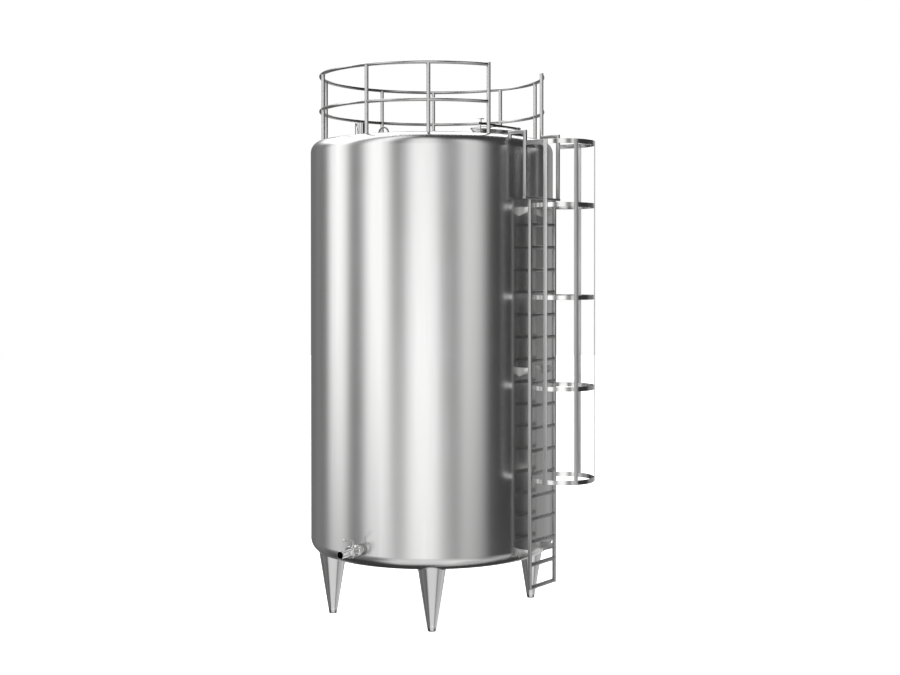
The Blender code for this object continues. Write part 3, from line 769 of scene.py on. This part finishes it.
def makeHoops(welds):
    line = cage["radius"] - cage["thick"] / 2
    section = barSection(cage["thick"], cage["tall"], cage["ease"])
    reach = math.radians(cage["reach"])
    for i, level in enumerate(cage["hoops"]):
        bm = bmesh.new()
        path = ringPath(line, level, cage["steps"], (cageX, 0.0), -reach, 2 * reach, False)
        carried(bm, path, section, up=(0.0, 0.0, 1.0))
        place(f"hoop_{i + 1}", bm, flatBarSteel, [f"cage_hoop_{i + 1}"])
        for end in (path[0], path[-1]):
            face = ladder["x"] + ladder["deep"] / 2 + proud / 2
            bead(welds, [(face, end[1], z) for z in hoopHeights(level)], cage["weld"])
    root = head["x"] + ladder["deep"] / 2
    quarter = math.pi / 2
    path = [(root, -line, cage["topHoop"])]
    path += ringPath(line, cage["topHoop"], 72, (cageX, 0.0), -quarter, math.pi, False)
    path.append((root, line, cage["topHoop"]))
    bm = bmesh.new()
    carried(bm, path, section, up=(0.0, 0.0, 1.0))
    place("hoop_top", bm, flatBarSteel, ["cage_hoop_top"])
    for side in (-1, 1):
        for edge in (-1, 1):
            y = side * line + edge * cage["thick"] / 2
            rows = [(root + 0.0008, y, z) for z in hoopHeights(cage["topHoop"])]
            bead(welds, rows, cage["weld"])


def makeStrips(welds):
    half, wide = cage["tall"] / 2, cage["stripWide"] / 2
    low, high = cage["hoops"][0] - half, cage["topHoop"] + half
    inner, outer = cage["radius"] - cage["stripSunk"], cage["radius"] + cage["stripThick"]
    for i, degrees in enumerate(cage["stripAngles"]):
        turn = Matrix.Translation((cageX, 0.0, 0.0)) @ Matrix.Rotation(math.radians(degrees), 4, "Z")
        bm = bmesh.new()
        box(bm, (inner, -wide, low), (outer, wide, high), cage["stripEase"])
        bm.transform(turn)
        place(f"strip_{i + 1}", bm, stripSteel, [f"cage_strip_{i + 1}"])
        for level in cage["hoops"] + (cage["topHoop"],):
            for edge in (-1, 1):
                face = cage["radius"] - proud / 2
                rows = [turn @ Vector((face, edge * wide, z)) for z in hoopHeights(level)]
                bead(welds, rows, cage["weld"])


cageWelds = bmesh.new()
makeHoops(cageWelds)
makeStrips(cageWelds)
stripNames = [f"cage_strip_{i + 1}" for i in range(len(cage["stripAngles"]))]
place("cage_welds", cageWelds, weldSteel, stripNames)
print("cage made")


# Manway. Its sizes count from the roof's face at its middle, square to that face.
cover = {
    "rim": 0.390, "flareHigh": 0.045, "rimHigh": 0.053, "steps": 128,
    "lid": 0.380, "crown": 0.050, "lidEdge": 0.005, "flat": 0.050,
    "yoke": 0.027, "tip": -0.460, "hinge": 0.451, "pin": 0.007,
    "earOffset": 0.029, "earThick": 0.010, "earLow": 0.004, "earTop": 0.015, "earBack": 0.030,
    "earCorner": 0.014, "lugHigh": 0.014, "lugHalf": 0.022, "lugEnd": 0.462,
    "skirt": 0.018, "depth": 0.11, "weld": 0.0045, "pinSteps": 28,
}
screw = {
    "y": -0.437, "radius": 0.009, "thread": 0.0011, "pitch": 0.0035, "hub": 0.014,
    "wheelLow": 0.171, "wheel": 0.045, "wheelThick": 0.016, "spokes": 5,
}
pinLevel = cover["rimHigh"] + cover["crown"] + cover["yoke"] / 2 + 0.0006


# The hinge ear seen from the side, as (distance from the manway's axis, height)
def earOutline():
    back, front = cover["hinge"] + cover["earBack"], cover["rim"] - cover["earThick"] / 2
    root, corner = manway["neckRadius"] - sunk, cover["earCorner"]
    top = pinLevel + cover["earTop"]
    level = top - corner
    outline = [(root, cover["earLow"]), (back, cover["earLow"]), (back, level)]
    for k in range(1, 5):
        turn = math.pi / 2 * k / 4
        outline.append((back - corner + corner * math.cos(turn), level + corner * math.sin(turn)))
    for k in range(5):
        turn = math.pi / 2 * (1 + k / 4)
        outline.append((front + corner + corner * math.cos(turn), level + corner * math.sin(turn)))
    return outline + [(front, cover["flareHigh"]), (root, cover["flareHigh"])]


def makeNeck():
    radius, bore = manway["neckRadius"], manway["neckRadius"] - manway["neckWall"]
    flare = cover["rim"] - radius
    profile = [(radius, -cover["skirt"]), (radius, 0.0)]
    for k in range(1, 9):
        share = k / 8
        profile.append((radius + flare * share ** 1.6, cover["flareHigh"] * share))
    profile += [(cover["rim"], cover["rimHigh"] - 0.002), (cover["rim"] - 0.002, cover["rimHigh"]),
                (bore + 0.004, cover["rimHigh"]), (bore, cover["rimHigh"] - 0.004),
                (bore, -cover["depth"]), (bore + 0.005, -cover["depth"])]
    bm = bmesh.new()
    turned(bm, profile, cover["steps"])
    ear = cover["earThick"] / 2
    for side in (-1, 1):
        middleX = side * cover["earOffset"]
        plate(bm, earOutline(), 0, middleX - ear, middleX + ear, 0.001)
    wide = cover["lugHalf"]
    box(bm, (-wide, -cover["lugEnd"], cover["earLow"]), (wide, sunk - radius, cover["lugHigh"]), 0.002)
    fitting("manway_collar", bm, manwayFrame, neckSteel, "manway_neck")


# The hinge pin with its head, washer and split pin
def makePin():
    turn = Matrix.Translation((0.0, cover["hinge"], pinLevel)) @ Matrix.Rotation(math.pi / 2, 4, "Y")
    bm = bmesh.new()
    reach = cover["earOffset"] + cover["earThick"] / 2
    pin, steps = cover["pin"], cover["pinSteps"]
    wide, start, seat, end = pin * 1.6, -reach - 0.006, -reach - 0.0002, reach + 0.011
    turned(bm, [(0.0, start), (pin * 1.35, start), (wide, -reach - 0.004), (wide, seat), (pin, seat),
                (pin, reach + 0.009), (pin - 0.0015, end), (0.0, end)], steps, turn)
    washer, near, far = pin * 1.8, reach + 0.0003, reach + 0.002
    turned(bm, [(pin, near), (washer, near), (washer, far), (pin, far)], steps, turn)
    carried(bm, [turn @ Vector((0.0, y, reach + 0.0055)) for y in (-0.013, -0.004, 0.004, 0.013)],
            circleSection(0.0013, 8))
    fitting("manway_pin", bm, manwayFrame, fittingSteel, "manway_neck")


def makeManwayWeld():
    bm = bmesh.new()
    bead(bm, ringPath(manway["neckRadius"] + proud, -sunk, 160), cover["weld"], closed=True)
    fitting("manway_weld", bm, manwayFrame, weldSteel, "manway_neck")


def makeLid():
    base = cover["rimHigh"] + 0.0004
    lid, crown, edge, flat = (cover[key] for key in ("lid", "crown", "lidEdge", "flat"))
    rim, under = lid - 0.003, base + 0.0004
    profile = [(0.0, base + crown)]
    for k in range(21):
        share = k / 20
        fall = (crown - edge) * share ** 2
        profile.append((flat + (rim - flat) * share, base + crown - fall))
    profile += [(lid - 0.001, base + edge - 0.001), (lid, base + edge * 0.5),
                (lid - 0.001, base + 0.0012), (rim, under), (0.0, under)]
    bm = bmesh.new()
    turned(bm, profile, cover["steps"])
    fitting("manway_lid_dish", bm, manwayFrame, lidSteel, "manway_lid", body="manway_cover")
    bm = bmesh.new()
    seal = lid - 0.010
    turned(bm, [(seal, base - 0.0002), (lid + 0.001, base - 0.0002), (lid + 0.0016, base + 0.0006),
                (lid + 0.001, base + 0.0014), (seal, base + 0.0014)], cover["steps"])
    fitting("manway_gasket", bm, manwayFrame, sealRubber, "manway_lid", body="manway_cover")


def makeYoke():
    half = cover["yoke"] / 2
    outline = [(cover["tip"], pinLevel - half), (cover["tip"], pinLevel + half)]
    for k in range(9):
        turn = math.pi / 2 - math.pi * k / 8
        outline.append((cover["hinge"] + half * math.cos(turn), pinLevel + half * math.sin(turn)))
    bm = bmesh.new()
    plate(bm, outline, 0, -half, half, 0.002)
    bm.transform(manwayFrame)
    place("manway_yoke_bar", bm, yokeReflectionAndWear, ["manway_yoke"],
          body="manway_cover", sharp=50.0)


def makeScrew():
    radius, depth, pitch = screw["radius"], screw["thread"], screw["pitch"]
    low = cover["lugHigh"] + 0.0008
    over = pinLevel + cover["yoke"] / 2 + 0.0006
    profile = [(0.0, low), (radius - depth, low)]
    level = low + 0.001
    while level + pitch < over:
        profile += [(radius - depth, level), (radius, level + pitch * 0.4),
                    (radius, level + pitch * 0.55), (radius - depth, level + pitch * 0.95)]
        level += pitch
    wheelLow, thick, hub = screw["wheelLow"], screw["wheelThick"], screw["hub"]
    collar, neck, wheelTop = hub + 0.002, hub - 0.003, wheelLow + thick
    profile += [(radius, over), (collar, over), (collar, over + 0.003), (hub - 0.001, over + 0.004),
                (neck, over + 0.012), (neck, wheelLow - 0.006), (hub, wheelLow - 0.001),
                (hub, wheelTop - 0.002), (hub - 0.002, wheelTop), (0.0, wheelTop)]
    bm = bmesh.new()
    turned(bm, profile, 24)
    ring = thick / 2
    circle = screw["wheel"] - ring
    carried(bm, ringPath(circle, wheelLow + ring, 48), circleSection(ring * 0.98, 14), closed=True)
    for turn in turns(screw["spokes"]):
        side = Vector((math.cos(turn), math.sin(turn), 0.0))
        rise = Vector((0.0, 0.0, wheelLow + ring))
        spoke = [rise + side * (hub * 0.6), rise + side * (circle * 0.7), rise + side * circle]
        carried(bm, spoke, circleSection(0.0038, 10))
    matrix = manwayFrame @ Matrix.Translation((0.0, screw["y"], 0.0))
    fitting("manway_screw_wheel", bm, matrix, fittingSteel, "manway_handwheel", body="manway_screw")


makeNeck()
makePin()
makeManwayWeld()
makeLid()
makeYoke()
makeScrew()
print("manway made")


# Vent stub and lifting eye
roofFittings = {
    "ventX": -1.315, "ventRadius": 0.081, "ventTop": 6.881, "ventEase": 0.005, "weld": 0.004,
    "eyeX": -0.880, "eyeTop": 6.810, "eyeBend": 0.087, "eyeBar": 0.013,
}


# A bead on the roof, round an upright of the given radius
def weldRing(bm, x, radius, size):
    ring = [(x + out, across) for out, across in circleSection(radius + proud, 40)]
    bead(bm, onRoof(ring), size, closed=True)


def makeVent():
    x, radius, top, ease = (roofFittings[key] for key in ("ventX", "ventRadius", "ventTop", "ventEase"))
    low = roofLevel(x - radius, 0.0) - sunk
    cap = top - 0.0015
    profile = [(0.0, low), (radius, low), (radius, top - ease), (radius - ease * 0.3, top - ease * 0.3),
               (radius - ease, top), (radius - 0.020, top), (radius - 0.022, cap), (0.0, cap)]
    bm = bmesh.new()
    turned(bm, profile, 64, Matrix.Translation((x, 0.0, 0.0)))
    place("vent_tube", bm, fittingSteel, ["vent_stub"])
    bm = bmesh.new()
    weldRing(bm, x, radius, roofFittings["weld"])
    place("vent_weld", bm, weldSteel, ["vent_stub"])


def makeEye():
    x, bend, bar = roofFittings["eyeX"], roofFittings["eyeBend"], roofFittings["eyeBar"]
    crown = roofFittings["eyeTop"] - bar - bend
    path = [(x - bend, 0.0, roofLevel(x - bend, 0.0) - sunk)]
    for k in range(33):
        turn = math.pi * (1.0 - k / 32)
        path.append((x + bend * math.cos(turn), 0.0, crown + bend * math.sin(turn)))
    path.append((x + bend, 0.0, roofLevel(x + bend, 0.0) - sunk))
    bm = bmesh.new()
    carried(bm, path, circleSection(bar, 20), up=(0.0, 1.0, 0.0))
    place("lifting_eye_bar", bm, eyeSteel, ["lifting_eye"], sharp=50.0)
    bm = bmesh.new()
    for side in (-1, 1):
        weldRing(bm, x + side * bend, bar, roofFittings["weld"] * 0.8)
    place("lifting_eye_welds", bm, weldSteel, ["lifting_eye"])


makeVent()
makeEye()
print("roof fittings made")


# Outlet. Its own frame has X out along the pipe and Z up, with Z = 0 on the pipe's axis.
valve = {
    "start": 1.768, "end": 1.928, "flange": 0.080, "waist": 0.064, "cheek": 0.030, "ease": 0.003,
    "spoutEnd": 2.1268, "weld": 0.0045, "steps": 64,
    "bolts": 4, "boltCircle": 0.0705, "boltSize": 0.012, "boltTall": 0.007, "boltRod": 0.004,
    "stem": 0.009, "leverLevel": 0.145, "bend": 0.020, "tipReach": 2.032, "tipLevel": 0.177,
    "ball": 0.018, "disc": 0.0445, "discThick": 0.006, "boss": 0.012,
    "gland": 0.013, "glandTop": 0.088,
}
outletMatrix = outletLift @ outletTurn
pipeRadius = outletFrame["pipeRadius"]
pipeBore = pipeRadius - outletFrame["pipeWall"]
stemX = (valve["start"] + valve["end"]) / 2


# A pipe through the wall, and the bead where it meets the shell
def makePipe():
    root, end = shellRadius - wall, valve["start"]
    bm = bmesh.new()
    line = [(pipeRadius, root), (pipeRadius, end), (pipeBore, end), (pipeBore, root)]
    turned(bm, line, valve["steps"], outward)
    fitting("outlet_tube", bm, outletMatrix, fittingSteel, "outlet_pipe")
    bm = bmesh.new()
    ring = [(math.sqrt(shellRadius ** 2 - y ** 2) + proud, y, z)
            for y, z in circleSection(pipeRadius + proud, 48)]
    bead(bm, [outletMatrix @ Vector(point) for point in ring], valve["weld"], closed=True)
    place("outlet_weld", bm, weldSteel, ["outlet_pipe"])


def makeSpout():
    start, lip, rolled = valve["end"], valve["spoutEnd"], pipeRadius + 0.0015
    bm = bmesh.new()
    turned(bm, [(pipeRadius, start), (pipeRadius, lip - 0.012), (rolled, lip - 0.009),
                (rolled, lip - 0.001), (pipeRadius + 0.0005, lip), (pipeBore + 0.001, lip),
                (pipeBore, lip - 0.001), (pipeBore, start)], valve["steps"], outward)
    fitting("outlet_spout_tube", bm, outletMatrix, fittingSteel, "outlet_spout")


# The heads and the rod of one flange bolt
def flangeBolt(bm, turn, first, second):
    circle, size, tall, thin = (valve[key] for key in ("boltCircle", "boltSize", "boltTall", "boltRod"))
    ahead, behind = valve["end"] - 0.0005, valve["start"] + 0.0005
    hexHead(bm, turn @ Matrix.Translation((ahead, 0.0, circle)) @ outward, size, tall)
    hexHead(bm, turn @ Matrix.Translation((behind, 0.0, circle)) @ outward.inverted(), size, tall)
    low, high = first - 0.002, second + 0.002
    spot = turn @ Matrix.Translation((0.0, 0.0, circle)) @ outward
    turned(bm, [(0.0, low), (thin, low), (thin, high), (0.0, high)], 16, spot)


def makeValveBody():
    start, end, flange, waist = valve["start"], valve["end"], valve["flange"], valve["waist"]
    cheek, ease = valve["cheek"], valve["ease"]
    first, second = start + cheek, end - cheek
    bm = bmesh.new()
    turned(bm, [(flange - ease, start), (flange, start + ease), (flange, first - ease),
                (flange - ease, first), (waist + 0.004, first + 0.001), (waist, first + 0.006),
                (waist, second - 0.006), (waist + 0.004, second - 0.001), (flange - ease, second),
                (flange, second + ease), (flange, end - ease), (flange - ease, end),
                (pipeBore, end), (pipeBore, start)], 72, outward)
    gland, top = valve["gland"], valve["glandTop"]
    collar = gland + 0.004
    turned(bm, [(0.0, waist - 0.006), (collar, waist - 0.006), (collar, waist + 0.006),
                (gland, waist + 0.008), (gland, top - 0.002), (gland - 0.002, top), (0.0, top)], 32,
           Matrix.Translation((stemX, 0.0, 0.0)))
    for k in range(valve["bolts"]):
        turn = Matrix.Rotation(math.pi / 4 + fullTurn * k / valve["bolts"], 4, "X")
        flangeBolt(bm, turn, first, second)
    fitting("valve_body", bm, outletMatrix, fittingSteel, "outlet_valve_body")


def makeLever():
    level, bend = valve["leverLevel"], valve["bend"]
    reach, rise = valve["tipReach"] - stemX, valve["tipLevel"] - level
    path = [(stemX, 0.0, valve["disc"] - valve["stem"])]
    for k in range(9):
        turn = math.pi / 2 * k / 8
        path.append((stemX + bend * (1 - math.cos(turn)), 0.0, level - bend * (1 - math.sin(turn))))
    scales = [1.0] * len(path)
    run = math.hypot(reach - bend, rise)
    ahead = Vector(((reach - bend) / run, 0.0, rise / run))
    elbow = Vector((stemX + bend, 0.0, level))
    for k in range(1, 16):
        turn = math.pi * k / 16
        ball = valve["ball"] * math.sin(turn) / valve["stem"]
        path.append(elbow + ahead * (run - valve["ball"] * math.cos(turn)))
        scales.append(max(ball, 0.8) if k < 8 else ball)
    bm = bmesh.new()
    carried(bm, path, circleSection(valve["stem"], 20), up=(0.0, 1.0, 0.0), scales=scales)
    fitting("valve_handle", bm, outletMatrix, fittingSteel, "outlet_lever",
            body="valve_lever", sharp=40.0)


# The disc that turns in the bore and shuts it
def makeDisc():
    bm = bmesh.new()
    across = Matrix.Translation((stemX, 0.0, 0.0)) @ Matrix.Rotation(math.pi / 2, 4, "X")
    disc, boss, thick = valve["disc"], valve["boss"], valve["discThick"] / 2
    edge, foot, high, crest = disc - 0.002, boss + 0.004, thick + 0.003, thick * 0.3
    turned(bm, [(0.0, -high), (boss, -high), (foot, -thick), (edge, -thick), (disc, -crest),
                (disc, crest), (edge, thick), (foot, thick), (boss, high), (0.0, high)], 48, across)
    fitting("valve_disc", bm, outletMatrix, lidSteel, "outlet_lever", body="valve_lever")


makePipe()
makeSpout()
makeValveBody()
makeLever()
makeDisc()
print("outlet made")


# Stage: floor, light and camera
view = {
    "lens": 56.0, "sensor": 36.0, "turn": 35.5, "pitch": 0.5,
    "place": (11.9638, -15.7389, 4.7045),    # from the tank's axis
    "shift": (-0.0274, -0.0592), "farthest": 200.0,
}
studio = {
    "facing": -54.5,         # world azimuth of the viewer's side, in degrees
    "surround": 0.055,
    "background": 1.0,
    # each upright panel: azimuth from the viewer's side, half width, soft edge, strength,
    # lowest and highest elevation and the softness there, all angles in degrees
    "panels": (
        (-150.0, 14.0, 12.0, 0.13, -40.0, 50.0, 16.0),
        (-124.0, 8.0, 12.0, 0.15, -30.0, 60.0, 16.0),
        (-74.0, 16.0, 12.0, 0.16, -40.0, 84.0, 12.0),
        (-97.0, 7.0, 12.0, 1.60, -11.0, 60.0, 12.0),
        (-51.0, 7.0, 11.0, 1.60, -13.0, 84.0, 13.0),
        (-7.0, 9.5, 11.0, 1.30, -14.0, 58.0, 14.0),
        (39.5, 5.5, 11.0, 0.94, -12.0, 44.0, 13.0),
        (-15.0, 27.0, 14.0, 0.58, -20.0, 1.0, 12.0),
        (21.0, 10.0, 12.0, 0.28, -20.0, 44.0, 12.0),
        (128.0, 20.0, 14.0, 0.34, -26.0, -1.0, 8.0),
        (172.0, 8.0, 12.0, 0.25, -40.0, 50.0, 16.0),
        (150.0, 5.0, 8.0, 0.30, -10.0, 60.0, 12.0),
        (4.0, 46.0, 11.0, 0.85, -40.0, -20.0, 7.0),
        (-98.0, 10.0, 9.0, 0.12, -33.0, -20.0, 5.0),
        (124.0, 62.0, 14.0, 0.60, -36.0, -20.0, 5.0),
        (-14.0, 43.0, 12.0, 0.86, -69.0, -38.0, 7.0),
        (54.0, 30.0, 12.0, 0.60, -88.0, -36.0, 2.0),
    ),
    "ceiling": 2.2,
    "ceilingFrom": 0.42,     # the sine of the elevation where the ceiling panel starts
    "ceilingTurn": -156.0,   # the side it lies on, as azimuth from the viewer's side
    "ceilingReach": 60.0,    # and how far it spreads to each side of that
    "ceilingEdge": 10.0,
    "ceilingLean": (0.04, 0.20),    # how far towards that side it begins and is whole
    "floorTone": 0.90, "floorRange": 0.01, "floorPatch": 1.5, "floorRoughness": 0.7,
    "floorGlow": 1.0,        # keeps the shadow under the tank faint, as on a lit studio floor
    "floorRadius": 60.0,
}


# The level direction at an azimuth from the viewer's side, in degrees
def sideways(azimuth):
    turn = math.radians(studio["facing"] + azimuth)
    return (math.cos(turn), math.sin(turn), 0.0)


# 1 within some degrees of a direction, with a soft edge. Facing is the cosine of the angle.
def within(graph, facing, half, edge):
    outer, inner = min(179.0, half + edge), max(0.0, half - edge)
    return graph.rise(facing, math.cos(math.radians(outer)), math.cos(math.radians(inner)))


# 1 above an elevation in degrees, with a soft edge. Height is the sine of the elevation.
def above(graph, height, level, soft):
    low, high = level - soft, level + soft
    return graph.rise(height, math.sin(math.radians(low)), math.sin(math.radians(high)))


def makeWorld():
    world = bpy.data.worlds.new("studio")
    bpy.context.scene.world = world
    graph = Graph(world)
    ray = graph.node("TexCoord", output="Generated")
    level = graph.vector("NORMALIZE", graph.vector("MULTIPLY", ray, (1.0, 1.0, 0.0)))
    height = graph.node("SeparateXYZ", {}, {0: ray}, "Z")
    light = graph.maths("MAXIMUM", studio["surround"], 0.0)
    for azimuth, half, edge, strength, low, high, soft in studio["panels"]:
        across = within(graph, graph.dot(level, sideways(azimuth)), half, edge)
        foot = above(graph, height, low, soft)
        top = 1 - above(graph, height, high, soft)
        light = light + across * foot * top * strength
    side = sideways(studio["ceilingTurn"])
    over = graph.rise(graph.dot(ray, side), *studio["ceilingLean"])
    over = over * graph.rise(height, studio["ceilingFrom"] - 0.1, studio["ceilingFrom"] + 0.1)
    over = over * within(graph, graph.dot(level, side), studio["ceilingReach"], studio["ceilingEdge"])
    light = light + over * studio["ceiling"]
    seen = graph.node("LightPath", output="Is Camera Ray")
    light = light * (1 - seen) + seen * studio["background"]
    colour = graph.node("CombineColor", {}, {0: light, 1: light, 2: light})
    shade = graph.node("Background", {}, {"Color": colour, "Strength": 1.0})
    graph.node("OutputWorld", {}, {"Surface": shade})


def makeFloor():
    material = bpy.data.materials.new("floor_pale")
    graph = Graph(material)
    mottle = graph.noise(graph.node("TexCoord", output="Object"), studio["floorPatch"], 3.0)
    tone, spread = studio["floorTone"], studio["floorRange"]
    colour = graph.colours(mottle, grey(tone - spread), grey(tone + spread))
    shader = graph.node("BsdfPrincipled", {}, {
        "Base Color": colour, "Roughness": studio["floorRoughness"],
        "Emission Color": colour, "Emission Strength": studio["floorGlow"]})
    graph.node("OutputMaterial", {}, {"Surface": shader})
    bm = bmesh.new()
    bmesh.ops.create_circle(bm, cap_ends=True, segments=96, radius=studio["floorRadius"])
    floor = meshObject("floor", bm)
    floor.data.materials.append(material)
    floor.location = (0.0, 0.0, -0.001)
    floor.visible_glossy = False


def makeCamera():
    data = bpy.data.cameras.new("camera")
    data.lens = view["lens"]
    data.sensor_width = view["sensor"]
    data.shift_x, data.shift_y = view["shift"]
    data.clip_end = view["farthest"]
    camera = bpy.data.objects.new("camera", data)
    bpy.context.scene.collection.objects.link(camera)
    camera.location = axis + Vector(view["place"])
    camera.rotation_euler = (math.radians(90.0 - view["pitch"]), 0.0, math.radians(view["turn"]))
    bpy.context.scene.camera = camera


makeWorld()
makeFloor()
makeCamera()
bpy.context.scene.view_settings.view_transform = "Standard"
print("stage made")
